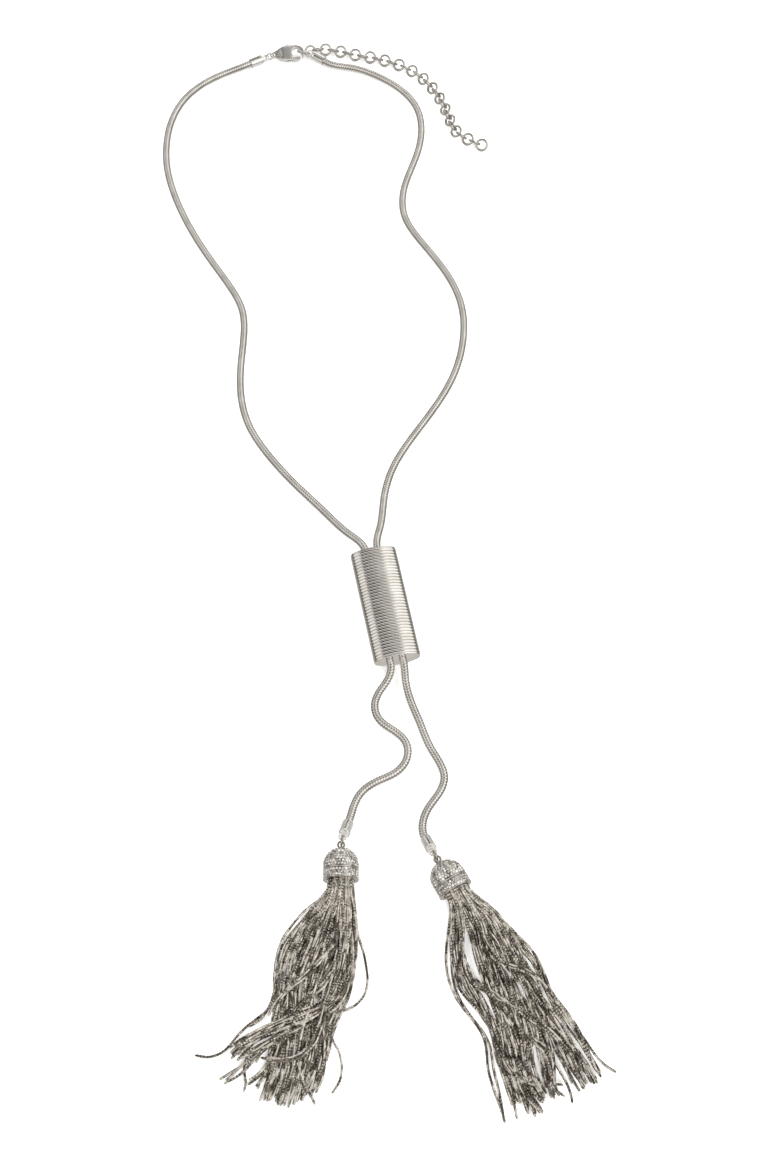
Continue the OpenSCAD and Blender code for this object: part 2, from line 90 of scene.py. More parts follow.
LEFT_NECK = [
    (-50, 180, 1.2), (-57, 175, 1.2), (-62.5, 168.5, 1.2), (-66.5, 159, 1.2), (-68, 147, 1.2),
    (-67, 135, 1.2), (-63.5, 122.5, 1.2), (-57, 107.5, 1.2), (-50, 95, 1.2), (-43, 83.5, 1.2),
    (-39, 74.5, 1.2), (-38, 64, 1.2), (-38.5, 52, 1.2), (-38, 39.5, 1.2), (-35, 28, 1.2),
    (-29, 17.5, 1.2), (-19.5, 5.5, 1.2), (-10, -5, 1.4), (-2.5, -13.5, 2.6),
]
LEFT_TAIL = [
    (9.2, -64, 2.4), (6.8, -67.5, 1.5), (5.5, -71.5, 1.2), (7, -76.5, 1.2), (11, -79.8, 1.2),
    (14.5, -83.5, 1.2), (15, -88.5, 1.2), (11.8, -93.2, 1.2), (6.5, -96, 1.2), (1.5, -100, 1.2),
    (-0.7, -105, 1.3),
]
RIGHT_NECK = [
    (-4.5, 183.5, 1.2), (5, 179.5, 1.2), (13, 173.5, 1.2), (19, 165, 1.2), (21, 154, 1.2),
    (19, 141, 1.2), (15, 127.5, 1.2), (15, 114.5, 1.2), (20.5, 103.5, 1.2), (28.5, 90.5, 1.2),
    (33.5, 77, 1.2), (34, 62.5, 1.2), (30.5, 47.5, 1.2), (24, 34.5, 1.2), (16.5, 22.5, 1.2),
    (11, 12, 1.2), (8.2, 1, 1.4), (7, -10.5, 2.5),
]
RIGHT_TAIL = [
    (14.6, -64, 2.5), (16, -70, 1.5), (18.8, -77.5, 1.2), (21.5, -84.8, 1.2),
    (24.5, -90.5, 1.2), (25.7, -95, 1.2), (24, -100, 1.2), (21, -104.5, 1.2), (19.3, -109.5, 1.3),
]

# Bundles of strands: place across the cap's mouth, number side by side, layer from the surface
# up, and the way they take in X and Y
BUNDLES_LEFT = [
    (-3.0, 3, 0, [(-12.6, -135.6), (-16.9, -141), (-19.8, -146.5), (-21, -152.5), (-21.1, -159.5),
                  (-21, -166.5), (-21.6, -173.5), (-22.8, -180.5), (-25.4, -188.5)]),
    (-2.5, 4, 1, [(-10.8, -135.6), (-14.4, -141), (-17.4, -147), (-18.8, -153.5), (-19, -160.5),
                  (-18.8, -167.5), (-19.4, -175), (-20.6, -182.5), (-22.8, -190)]),
    (-1.9, 4, 1, [(-9, -136), (-12, -142), (-14.8, -148), (-16.4, -154.5), (-16.5, -161.5),
                  (-16.1, -168.5), (-16.7, -176), (-17.9, -183), (-19.4, -190)]),
    (-1.2, 4, 2, [(-7.4, -136.6), (-9.6, -143), (-12.4, -149.4), (-14.3, -156), (-14.2, -162.5),
                  (-13.6, -169.5), (-14.2, -177), (-15.4, -184), (-17.3, -190.4)]),
    (-0.5, 4, 2, [(-6, -137), (-7.2, -143.6), (-9.8, -150), (-11.9, -156.5), (-12, -163),
                  (-11.5, -170), (-11.9, -177), (-13, -184), (-14.8, -189.4)]),
    (0.2, 4, 2, [(-4.6, -137.4), (-5.3, -144), (-7.2, -150.6), (-9.4, -157), (-9.9, -163.5),
                 (-9.3, -170), (-9.4, -177), (-10.8, -183), (-13.4, -188.8)]),
    (0.9, 3, 1, [(-3.2, -137.4), (-3.4, -144), (-4.7, -151), (-6.7, -157.8), (-8.1, -164),
                 (-8.1, -170), (-7.9, -176.4), (-8.6, -182), (-11, -186.4)]),
    (2.9, 3, 1, [(-0.6, -136), (0, -142), (-0.1, -149), (-1, -155.4), (-2.8, -161),
                 (-4.8, -166), (-6.2, -170.6), (-7.3, -175), (-8.4, -179.5)]),
    (1.5, 4, 3, [(-2.2, -136.4), (-1.8, -143), (-2.2, -150), (-3.6, -156.4), (-7.2, -161.6),
                 (-12.6, -165), (-18.4, -167.8), (-24.2, -170.8), (-29.6, -174.2), (-33, -177.3)]),
    (2.2, 4, 3, [(-1.2, -137), (-0.8, -144), (-1.2, -151), (-2.8, -157.6), (-7, -163.8),
                 (-13.2, -167.8), (-19.6, -170.8), (-25.2, -173.6), (-30.6, -176.8)]),
    (0.4, 2, 4, [(-4, -140), (-4.6, -150), (-6.4, -160), (-8.6, -168.5), (-11.6, -174.6),
                 (-15.8, -177.6), (-20.4, -178.3), (-24.6, -177.5)]),
    (1.8, 2, 2, [(-1.8, -142), (-3, -155), (-9, -163.6), (-16, -169.2), (-21.4, -172.8),
                 (-25.6, -176.2), (-29, -179.4), (-32, -181.9), (-35, -183.8)]),
    (-2.8, 1, 0, [(-13, -137), (-18.4, -146), (-20.6, -155.5), (-22.4, -162), (-25.6, -165.6),
                  (-28.6, -168.4), (-31.4, -171.6), (-34.6, -174.9), (-38.2, -176.2), (-42.3, -175.8)]),
    (-2.9, 1, 0, [(-12.6, -136.6), (-18.8, -145.6), (-21, -154), (-22, -161), (-24.4, -165.6),
                  (-28.2, -168)]),
    (3.1, 1, 1, [(0.1, -136), (1.2, -142), (2.8, -147.6), (3.6, -152.4), (3.7, -156.4),
                 (2.5, -160.2), (0, -163), (-3.2, -164.8), (-6.2, -165.6)]),
    (2.0, 1, 1, [(-1.4, -142), (-2.6, -154), (-5.4, -163), (-6.6, -168.4), (-5.6, -172),
                 (-3.8, -175.2), (-2.8, -179), (-3.2, -183), (-5.4, -186.7)]),
    (-2.2, 1, 0, [(-10, -137), (-15.6, -147), (-18, -158), (-19.6, -167), (-23.6, -172.6),
                  (-27.6, -175.6), (-28.6, -180), (-27.8, -184), (-28.4, -186.3)]),
    (-1.6, 2, 0, [(-9, -138), (-14, -149), (-17, -160), (-19.6, -169.5), (-23, -173.6),
                  (-25.6, -176.6), (-26.3, -179.4)]),
    (-0.2, 1, 3, [(-6, -140), (-9.4, -153), (-12.4, -165), (-14, -176), (-13.4, -182.5),
                  (-12, -186.4), (-10.3, -190.3)]),
    (0.6, 2, 3, [(-4, -137), (-4.6, -143.4), (-8.4, -149.8), (-13, -154.6), (-17.4, -158.4),
                 (-20.8, -162.4), (-22, -167.5)]),
    (1.2, 2, 3, [(-2.8, -138), (-3, -146), (-5.6, -153), (-9.6, -158.6), (-13.6, -162.6),
                 (-16.4, -168)]),
    (-2.4, 2, 1, [(-10.6, -138), (-16, -147.6), (-18.4, -158), (-19.4, -168), (-21.6, -176.6),
                  (-24.4, -181.8), (-27.6, -184.6)]),
]
BUNDLES_RIGHT = [
    (-3.0, 2, 0, [(26.6, -139), (26, -145), (26.2, -151), (27.4, -157), (29.6, -162), (33.2, -167.5),
                  (35.9, -173), (36.8, -179), (38.2, -184.5), (39.8, -190), (40.7, -194.3)]),
    (-2.6, 4, 1, [(28.3, -139), (28, -145), (28.3, -151), (30, -156.5), (33.4, -161.5),
                  (36.8, -166.5), (39, -172), (40.2, -178), (42.2, -184), (44, -189.8)]),
    (-1.8, 2, 3, [(29.8, -138.5), (29.9, -144), (30.4, -150), (32.6, -155.5), (37, -159.6),
                  (42, -162.6), (47, -165.6), (51.5, -169), (55.5, -173.5), (59, -179), (62, -184.5)]),
    (-2.0, 3, 0, [(29.6, -139), (29.4, -145), (29.6, -150), (31.4, -156), (35, -161.5),
                  (38.6, -167), (41.5, -173), (43.5, -179), (46.5, -185), (50.6, -191.6)]),
    (-0.8, 4, 2, [(32.2, -138.5), (33.2, -143.5), (34.6, -149), (36.2, -154), (38, -159.5),
                  (40.2, -165), (42.4, -171), (44.4, -177), (46.8, -183), (49, -188.5)]),
    (-0.2, 3, 1, [(33.4, -138.5), (35.6, -144), (38.6, -150), (40.2, -155.5), (41.6, -161.5),
                  (43.4, -167.5), (45, -173.5), (46, -179.5), (47, -185.5), (47.6, -192)]),
    (0.4, 4, 2, [(34.6, -138), (37, -143.5), (39.6, -149.5), (41.8, -155.5), (44, -161.5),
                 (45.8, -167.5), (46.6, -173), (46.8, -178), (48.4, -183.5), (51.4, -189.5)]),
    (1.1, 5, 2, [(36.6, -137.6), (39.6, -142.6), (42.4, -148.5), (44.8, -154.6), (47.4, -160.8),
                 (49.8, -167), (51.2, -173), (51.9, -179), (52.8, -184.5), (54, -188)]),
    (1.9, 5, 1, [(38.2, -137.4), (41.6, -142.4), (44.6, -148), (46.9, -154), (50, -160.4),
                 (53, -166.6), (55.6, -172.6), (58.6, -178.6), (62, -185.2)]),
    (1.5, 4, 2, [(37.6, -138), (41, -143), (44.2, -149), (47, -155), (50.6, -161), (54.4, -167),
                 (58, -173), (61.2, -179), (64, -184.6)]),
    (3.0, 3, 1, [(38.6, -136), (43.4, -141.8), (47.8, -147.6), (51.2, -153.4), (53.8, -159.2),
                 (57, -165), (60.4, -171), (63.8, -177), (67, -183)]),
    (3.2, 1, 1, [(39.2, -135.6), (44.4, -141.6), (49, -147.8), (52.4, -154), (55, -160),
                 (58.6, -166), (61.8, -171.6), (64.6, -176.6), (67.4, -179.6), (70.2, -181.4)]),
    (1.3, 2, 4, [(35, -140), (37, -146.5), (40.2, -150.9), (44.6, -152.4), (49.4, -154.9),
                 (52, -159)]),
    (0.6, 1, 4, [(36, -143), (39, -150), (42.2, -154.6), (45.6, -157), (47.6, -160.4), (50, -166)]),
    (-1.8, 2, 2, [(29.6, -142), (29.9, -149), (32, -156.5), (36, -164.5), (38.8, -173), (41.4, -179.8),
                  (45.4, -183), (50, -184.4), (54.6, -185.2), (57, -186)]),
    (0.8, 1, 1, [(37, -141), (40.6, -150), (45, -160), (49, -170), (53, -177), (56.4, -182.6),
                 (57.6, -186), (57.9, -189.3)]),
    (-2.2, 1, 0, [(29.6, -144), (32, -158), (37, -170), (39.8, -179.6), (42.4, -184.6),
                  (42.2, -189.2), (42.5, -193.4)]),
    (-1.0, 3, 1, [(33, -142), (36, -154), (39.4, -166), (42, -177), (44.8, -184.8),
                  (46.8, -190), (48.2, -194)]),
    (-0.4, 3, 2, [(34, -141), (38, -153), (41.4, -165), (43.4, -176), (44.4, -182.6),
                  (46.6, -187.2), (49.4, -190.4), (51, -192.2)]),
    (1.0, 2, 3, [(36, -141), (40, -148), (43, -158), (44.6, -168), (47.4, -172.4), (51, -175),
                 (53.4, -180), (54, -186)]),
]


def along(heading, slope):
    h, s = math.radians(heading), math.radians(slope)
    return np.array([math.cos(h) * math.cos(s), math.sin(h) * math.cos(s), math.sin(s)])


def slider_point(across, down, z):
    c, s = math.cos(math.radians(SLIDER_TURN)), math.sin(math.radians(SLIDER_TURN))
    x = SLIDER_CENTRE[0] + across * c + down * s
    y = SLIDER_CENTRE[1] + across * s - down * c
    return np.array([x, y, z])


def clasp_point(x, y):
    tilt, turn = math.radians(CLASP_TILT), math.radians(CLASP_TURN)
    flat = y * math.cos(tilt)
    return CLASP_EYE + np.array([
        x * math.cos(turn) - flat * math.sin(turn),
        x * math.sin(turn) + flat * math.cos(turn),
        y * math.sin(tilt),
    ])


def crimp_points(hole, heading, slope):
    steps = (CRIMP_HOLE_X - CRIMP_INSET, CRIMP_HOLE_X, CRIMP_HOLE_X + CRIMP_LEAD)
    return [hole + x * along(heading, slope) for x in steps]


CAP_LEAN = math.radians(CAP_TILT)
CAP_Z = CAP_SKIRT * math.sin(CAP_LEAN) + (CAP_R + CAP_BAND) * math.cos(CAP_LEAN)
CAP_LEFT = np.array([-3.7, -123.6, CAP_Z])
CAP_LEFT_HEADING = -90.0
CAP_RIGHT = np.array([26.2, -127.2, CAP_Z])
CAP_RIGHT_HEADING = -60.0


def eyelet(cap, heading):
    return cap - (CAP_R + EYELET_RISE) * along(heading, -CAP_TILT)


clasp_slope = math.degrees(math.asin((CLASP_END_CAP_Z - CLASP_EYE[2]) / (2 * RING_R)))
clasp_hole = CLASP_EYE + 2 * RING_R * along(RING_CLASP_HEADING, clasp_slope)
ring_hole = clasp_point(*HOOKED_CENTRE) + HOOK_RING_R * along(HOOKED_HEADING, 0)
ring_slope = math.degrees(math.asin((CLASP_END_CAP_Z - ring_hole[2]) / CRIMP_HOLE_X))
left_hole = eyelet(CAP_LEFT, CAP_LEFT_HEADING) + 2 * RING_R * along(RING_LEFT_HEADING, -RING_SLOPE)
right_hole = eyelet(CAP_RIGHT, CAP_RIGHT_HEADING) + 2 * RING_R * along(RING_RIGHT_HEADING, -RING_SLOPE)


def chain_route(start, neck, side, tail, end):
    half = SLIDER_L / 2
    straight = [slider_point(BORE_X[side], d, SLIDER_T / 2)
                for d in (-half - SLIDER_LEAD, -half, half, half + SLIDER_LEAD)]
    return np.array([*start, *neck, *straight, *tail, *end], float)


left_route = chain_route(
    crimp_points(clasp_hole, END_CAP_CLASP_HEADING, 0), LEFT_NECK, 0, LEFT_TAIL,
    crimp_points(left_hole, END_CAP_LEFT_HEADING, -END_CAP_SLOPE)[::-1])
right_route = chain_route(
    crimp_points(ring_hole, END_CAP_RING_HEADING, ring_slope), RIGHT_NECK, 1, RIGHT_TAIL,
    crimp_points(right_hole, END_CAP_RIGHT_HEADING, -END_CAP_SLOPE)[::-1])


# Camera and light

SENSOR = 36
LENS = 61.54
CAMERA_PLACE = (10, -335.5, 529.1)
CAMERA_TARGET = (10, -30, 0)


def make_camera():
    data = bpy.data.cameras.new("camera")
    data.sensor_width = SENSOR
    data.lens = LENS
    data.clip_start = 0.01
    data.clip_end = 20
    camera = bpy.data.objects.new("camera", data)
    bpy.context.collection.objects.link(camera)
    camera.location = Vector(CAMERA_PLACE) * MM
    target = Vector(CAMERA_TARGET) * MM
    camera.rotation_mode = "QUATERNION"
    camera.rotation_quaternion = (target - camera.location).to_track_quat("-Z", "Y")
    bpy.context.scene.camera = camera


# Light seen in the metal: a dim opening overhead between bright panels, a dim band round the
# horizon, and below it a surface that is bright straight down. The opening's centre and half
# widths are in X and Y of the direction looked in.
OPENING = (-0.10, 0.18)
OPENING_HALF = (0.46, 0.47)
OPENING_LEFT = (0.042, 0.039, 0.035)
OPENING_RIGHT = (0.28, 0.265, 0.25)
PANEL_LEFT = (0.98, 0.96, 0.93)
PANEL_RIGHT = (1.25, 1.23, 1.19)
HORIZON = 0.14
BELOW_NEAR = (0.27, 0.26, 0.245)
BELOW_FAR = (0.66, 0.64, 0.61)
# Where one tone runs into the next: in shares of the opening's half widths, then in X, then in Z
OPENING_EDGE = (0.88, 1.12)
PANEL_TURN = (-0.5, 0.5)
OPENING_TURN = (-0.3, 0.3)
HORIZON_EDGE = (0.14, 0.42)
SURFACE_EDGE = (-0.06, 0.04)
BELOW_TURN = (-0.25, -0.75)


def make_world():
    world = bpy.data.worlds.new("studio")
    bpy.context.scene.world = world
    world.use_nodes = True
    tree = world.node_tree
    tree.nodes.clear()
    new, link = tree.nodes.new, tree.links.new
    out = new("ShaderNodeOutputWorld")
    shade = new("ShaderNodeBackground")
    coord = new("ShaderNodeTexCoord")
    split = new("ShaderNodeSeparateXYZ")
    link(coord.outputs["Generated"], split.inputs[0])

    def ramp(value, low, high, to_low=0.0, to_high=1.0):
        node = new("ShaderNodeMapRange")
        node.interpolation_type = "SMOOTHSTEP"
        numbers = {"From Min": low, "From Max": high, "To Min": to_low, "To Max": to_high}
        for key, number in numbers.items():
            node.inputs[key].default_value = number
        link(value, node.inputs["Value"])
        return node.outputs["Result"]

    def blend(factor, a, b):
        node = new("ShaderNodeMix")
        node.data_type = "RGBA"
        link(factor, node.inputs[0])
        for socket, colour in ((node.inputs[6], a), (node.inputs[7], b)):
            if isinstance(colour, tuple):
                socket.default_value = (*colour, 1)
            else:
                link(colour, socket)
        return node.outputs[2]

    away = new("ShaderNodeVectorMath")
    away.operation = "SUBTRACT"
    away.inputs[1].default_value = (*OPENING, 0)
    link(coord.outputs["Generated"], away.inputs[0])
    scaled = new("ShaderNodeVectorMath")
    scaled.operation = "MULTIPLY"
    scaled.inputs[1].default_value = (1 / OPENING_HALF[0], 1 / OPENING_HALF[1], 0)
    link(away.outputs[0], scaled.inputs[0])
    folded = new("ShaderNodeVectorMath")
    folded.operation = "ABSOLUTE"
    link(scaled.outputs[0], folded.inputs[0])
    parts = new("ShaderNodeSeparateXYZ")
    link(folded.outputs[0], parts.inputs[0])
    reach = new("ShaderNodeMath")
    reach.operation = "MAXIMUM"
    link(parts.outputs["X"], reach.inputs[0])
    link(parts.outputs["Y"], reach.inputs[1])
    x, z = split.outputs["X"], split.outputs["Z"]
    panels = blend(ramp(x, *PANEL_TURN), PANEL_LEFT, PANEL_RIGHT)
    opening = blend(ramp(x, *OPENING_TURN), OPENING_LEFT, OPENING_RIGHT)
    upper = new("ShaderNodeVectorMath")
    upper.operation = "SCALE"
    link(blend(ramp(reach.outputs[0], *OPENING_EDGE), opening, panels), upper.inputs[0])
    link(ramp(z, *HORIZON_EDGE, HORIZON, 1.0), upper.inputs["Scale"])
    below = blend(ramp(z, *BELOW_TURN), BELOW_NEAR, BELOW_FAR)
    link(blend(ramp(z, *SURFACE_EDGE), below, upper.outputs[0]), shade.inputs["Color"])
    link(shade.outputs[0], out.inputs["Surface"])


# Lamps aimed at the middle, which light the surface and what isn't polished: place in metres,
# size and power
LAMPS = {
    "key": ((-0.55, 0.35, 0.85), 0.45, 6.5),
    "fill": ((0.75, 0.1, 0.75), 0.5, 6.0),
    "top": ((0.1, -0.9, 1.1), 0.4, 5.0),
}


def area_light(name, place, size, power):
    data = bpy.data.lights.new(name, "AREA")
    data.size = size
    data.energy = power
    light = bpy.data.objects.new(name, data)
    bpy.context.collection.objects.link(light)
    light.visible_glossy = False
    light.location = place
    light.rotation_mode = "QUATERNION"
    light.rotation_quaternion = (-Vector(place)).to_track_quat("-Z", "Y")


# Width and height of the pale surface in metres, and its share of light of its own
FLOOR_SIZE = 8
FLOOR_Z = -0.00005
FLOOR_GLOW = 0.3


def make_floor():
    bpy.ops.mesh.primitive_plane_add(size=FLOOR_SIZE, location=(0, 0, FLOOR_Z))
    floor = bpy.context.object
    floor.name = "floor"
    mat = bpy.data.materials.new("floor_paper")
    mat.use_nodes = True
    tree = mat.node_tree
    shader = tree.nodes["Principled BSDF"]
    shader.inputs["Roughness"].default_value = 0.9
    shader.inputs["Specular IOR Level"].default_value = 0.1
    shader.inputs["Emission Color"].default_value = (1, 1, 1, 1)
    shader.inputs["Emission Strength"].default_value = FLOOR_GLOW
    noise = tree.nodes.new("ShaderNodeTexNoise")
    noise.inputs["Scale"].default_value = 30
    ramp = tree.nodes.new("ShaderNodeValToRGB")
    ramp.color_ramp.elements[0].color = (0.93, 0.93, 0.93, 1)
    ramp.color_ramp.elements[1].color = (0.96, 0.96, 0.96, 1)
    tree.links.new(noise.outputs["Fac"], ramp.inputs["Fac"])
    tree.links.new(ramp.outputs["Color"], shader.inputs["Base Color"])
    floor.data.materials.append(mat)
    floor.visible_glossy = False


make_camera()
make_world()
for lamp, (place, size, power) in LAMPS.items():
    area_light(lamp, place, size, power)
make_floor()
bpy.context.scene.view_settings.view_transform = "Standard"


# Materials

def metal(name, dark, light, rough, scale, bump=0.0, bump_scale=2000.0, metallic=1.0):
    """Metal whose colour runs between two tones in soft patches, with uneven polish and fine relief."""
    mat = bpy.data.materials.new(name)
    mat.use_nodes = True
    tree = mat.node_tree
    shader = tree.nodes["Principled BSDF"]
    shader.inputs["Metallic"].default_value = metallic
    coord = tree.nodes.new("ShaderNodeTexCoord")
    noise = tree.nodes.new("ShaderNodeTexNoise")
    noise.inputs["Scale"].default_value = scale
    noise.inputs["Detail"].default_value = 5
    ramp = tree.nodes.new("ShaderNodeValToRGB")
    ramp.color_ramp.elements[0].position = 0.35
    ramp.color_ramp.elements[0].color = (*dark, 1)
    ramp.color_ramp.elements[1].position = 0.65
    ramp.color_ramp.elements[1].color = (*light, 1)
    polish = tree.nodes.new("ShaderNodeMapRange")
    polish.inputs["To Min"].default_value = rough[0]
    polish.inputs["To Max"].default_value = rough[1]
    fine = tree.nodes.new("ShaderNodeTexNoise")
    fine.inputs["Scale"].default_value = scale * 3.1
    fine.inputs["Detail"].default_value = 3
    link = tree.links.new
    link(coord.outputs["Object"], noise.inputs["Vector"])
    link(coord.outputs["Object"], fine.inputs["Vector"])
    link(noise.outputs["Fac"], ramp.inputs["Fac"])
    link(ramp.outputs["Color"], shader.inputs["Base Color"])
    link(fine.outputs["Fac"], polish.inputs["Value"])
    link(polish.outputs["Result"], shader.inputs["Roughness"])
    if bump:
        grain = tree.nodes.new("ShaderNodeTexNoise")
        grain.inputs["Scale"].default_value = bump_scale
        relief = tree.nodes.new("ShaderNodeBump")
        relief.inputs["Strength"].default_value = bump
        relief.inputs["Distance"].default_value = 0.0001
        link(coord.outputs["Object"], grain.inputs["Vector"])
        link(grain.outputs["Fac"], relief.inputs["Height"])
        link(relief.outputs["Normal"], shader.inputs["Normal"])
    return mat


CLASP_METAL = metal("clasp_metal", (0.70, 0.68, 0.65), (0.83, 0.815, 0.785),
                    rough=(0.12, 0.24), scale=260, bump=0.08, metallic=0.84)
CRIMP_METAL = metal("end_cap_metal", (0.80, 0.78, 0.75), (0.91, 0.895, 0.87),
                    rough=(0.10, 0.20), scale=220, bump=0.05, metallic=0.78)
RING_METAL = metal("ring_metal", (0.42, 0.395, 0.36), (0.62, 0.595, 0.555),
                   rough=(0.14, 0.28), scale=400, bump=0.08)
SILVER = metal("silver_plate", (0.72, 0.70, 0.665), (0.84, 0.825, 0.795),
               rough=(0.10, 0.20), scale=220, bump=0.06)
CHAIN_METAL = metal("snake_chain_metal", (0.70, 0.68, 0.645), (0.81, 0.795, 0.765),
                    rough=(0.07, 0.15), scale=260, bump=0.05, bump_scale=2600)
RIB_METAL = metal("slider_metal", (0.72, 0.70, 0.665), (0.82, 0.805, 0.775),
                  rough=(0.05, 0.12), scale=200, bump=0.04, bump_scale=2400)
CAP_METAL = metal("cap_metal", (0.40, 0.375, 0.34), (0.62, 0.59, 0.545),
                  rough=(0.20, 0.34), scale=900, bump=0.3, bump_scale=3000)
STRAND_METAL = metal("strand_metal", (0.36, 0.335, 0.30), (0.72, 0.68, 0.62),
                     rough=(0.10, 0.22), scale=700, bump=0.1, bump_scale=4000)
LINK_METAL = metal("link_metal", (0.50, 0.475, 0.44), (0.70, 0.68, 0.64),
                   rough=(0.12, 0.24), scale=300, bump=0.08)


def stone_material():
    mat = bpy.data.materials.new("pale_stone")
    mat.use_nodes = True
    tree = mat.node_tree
    shader = tree.nodes["Principled BSDF"]
    shader.inputs["Metallic"].default_value = 0.75
    shader.inputs["Roughness"].default_value = 0.07
    shader.inputs["Coat Weight"].default_value = 0.5
    coord = tree.nodes.new("ShaderNodeTexCoord")
    noise = tree.nodes.new("ShaderNodeTexNoise")
    noise.inputs["Scale"].default_value = 900
    ramp = tree.nodes.new("ShaderNodeValToRGB")
    ramp.color_ramp.elements[0].position = 0.38
    ramp.color_ramp.elements[0].color = (0.40, 0.38, 0.35, 1)
    ramp.color_ramp.elements[1].position = 0.62
    ramp.color_ramp.elements[1].color = (1.0, 0.985, 0.955, 1)
    tree.links.new(coord.outputs["Object"], noise.inputs["Vector"])
    tree.links.new(noise.outputs["Fac"], ramp.inputs["Fac"])
    tree.links.new(ramp.outputs["Color"], shader.inputs["Base Color"])
    return mat


STONE = stone_material()


# Mesh helpers

def mesh_object(name, points, faces, mat, smooth=True):
    mesh = bpy.data.meshes.new(name)
    mesh.from_pydata((np.asarray(points) * MM).tolist(), [], faces)
    mesh.update()
    if smooth:
        mesh.shade_smooth()
    else:
        mesh.shade_flat()
    obj = bpy.data.objects.new(name, mesh)
    bpy.context.collection.objects.link(obj)
    obj.data.materials.append(mat)
    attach(obj, BODY)
    return obj


def smooth_step(x):
    x = np.clip(x, 0, 1)
    return x * x * (3 - 2 * x)


# Fine points of a spline for each point given, from which the even steps are taken
SPLINE_FINE = 40


def spline(points, step):
    """Evenly spaced points on the natural cubic spline through the given points."""
    p = np.asarray(points, float)
    n = len(p)
    t = np.concatenate([[0], np.cumsum(np.linalg.norm(np.diff(p, axis=0), axis=1))])
    h = np.diff(t)
    a = np.zeros((n, n))
    b = np.zeros((n, 3))
    a[0, 0] = a[-1, -1] = 1
    for i in range(1, n - 1):
        a[i, i - 1], a[i, i], a[i, i + 1] = h[i - 1], 2 * (h[i - 1] + h[i]), h[i]
        b[i] = 6 * ((p[i + 1] - p[i]) / h[i] - (p[i] - p[i - 1]) / h[i - 1])
    m = np.linalg.solve(a, b)

    def value(x):
        i = np.clip(np.searchsorted(t, x, side="right") - 1, 0, n - 2)
        u, v, w = (t[i + 1] - x)[:, None], (x - t[i])[:, None], h[i][:, None]
        return (m[i] * u**3 + m[i + 1] * v**3) / (6 * w) + (p[i] / w - m[i] * w / 6) * u \
            + (p[i + 1] / w - m[i + 1] * w / 6) * v

    fine = value(np.linspace(0, t[-1], SPLINE_FINE * n))
    s = np.concatenate([[0], np.cumsum(np.linalg.norm(np.diff(fine, axis=0), axis=1))])
    count = max(4, int(round(s[-1] / step)) + 1)
    want = np.linspace(0, s[-1], count)
    return np.stack([np.interp(want, s, fine[:, k]) for k in range(3)], axis=1)


def frames(path):
    """Tangent, sideways and upward unit vectors along a path that is nowhere vertical."""
    t = np.gradient(path, axis=0)
    t /= np.linalg.norm(t, axis=1)[:, None]
    side = np.cross([0, 0, 1], t)
    side /= np.linalg.norm(side, axis=1)[:, None]
    return t, side, np.cross(t, side)


def tube_faces(rings, sides, start=0):
    """Quads of a tube, with a cap at each end."""
    faces = []
    for i in range(rings - 1):
        for k in range(sides):
            a = start + i * sides + k
            b = start + i * sides + (k + 1) % sides
            faces.append((a, b, b + sides, a + sides))
    faces.append(tuple(start + k for k in range(sides - 1, -1, -1)))
    faces.append(tuple(start + (rings - 1) * sides + k for k in range(sides)))
    return faces


# Snake chains

CHAIN_PITCH = 0.86
CHAIN_SIDES = 14
CHAIN_GROOVE = 0.30
# Bow of each rib along the chain, the radius inside an end cap, and how far from its mouth that ends
CHAIN_BOW = 0.07
CHAIN_HELD_R = 0.8
CRIMP_LIP = 0.3
CHAIN_FLOOR_GAP = 0.005
GUIDE_STEP = 0.2
# Places along one rib, from groove to groove, where its section changes
RIB_STEPS = (0.0, 0.05, 0.12, 0.24, 0.76, 0.88, 0.95)


def rib_inset(phase, depth):
    """Depth below the crest at a share of the way across a flat-topped rib."""
    return depth * abs(2 * phase - 1) ** 4


def snake_chain(name, node, route):
    """Ribbed tube of a round snake chain, thinner where the end caps hold it."""
    guide = spline(route, GUIDE_STEP)
    far = np.arange(len(guide)) * GUIDE_STEP
    ribs = int(far[-1] / CHAIN_PITCH)
    s = np.array([(i + phase) * CHAIN_PITCH for i in range(ribs) for phase in RIB_STEPS])
    path = np.stack([np.interp(s, far, guide[:, k]) for k in range(3)], axis=1)
    t, side, up = frames(path)
    angle = np.arange(CHAIN_SIDES) * 2 * math.pi / CHAIN_SIDES
    r = CHAIN_R - np.array([rib_inset(phase, CHAIN_GROOVE) for phase in RIB_STEPS] * ribs)
    held = np.minimum(s, s[-1] - s) < CRIMP_INSET - CRIMP_LIP
    r = np.where(held, CHAIN_HELD_R, r)
    bow = CHAIN_BOW * np.cos(4 * angle)
    ring = (r[:, None, None] * (np.cos(angle)[None, :, None] * side[:, None, :]
                                + np.sin(angle)[None, :, None] * up[:, None, :])
            + bow[None, :, None] * t[:, None, :] + path[:, None, :])
    points = ring.reshape(-1, 3)
    points[:, 2] = np.maximum(points[:, 2], CHAIN_FLOOR_GAP)
    obj = mesh_object(name, points, tube_faces(len(path), CHAIN_SIDES), CHAIN_METAL)
    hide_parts(node)


snake_chain("snake_chain_left", "chain_left", left_route)
snake_chain("snake_chain_right", "chain_right", right_route)


# Slider

SLIDER_SIDES = 96
BORE_SIDES = 24
# A little deeper than in part.scad, so that the ribs show
SLIDER_GROOVE = 0.42
# Places along one rib, from groove to groove, where its section changes
SLIDER_RIB_STEPS = (0.0, 0.03, 0.07, 0.12, 0.19, 0.30, 0.70, 0.81, 0.88, 0.93, 0.97)
# Distance from the slider's end and inset of an end plate's sections
PLATE_STEPS = ((0.0, 0.30), (0.08, 0.14), (SLIDER_PLATE - 0.08, 0.12), (SLIDER_PLATE, 0.20))


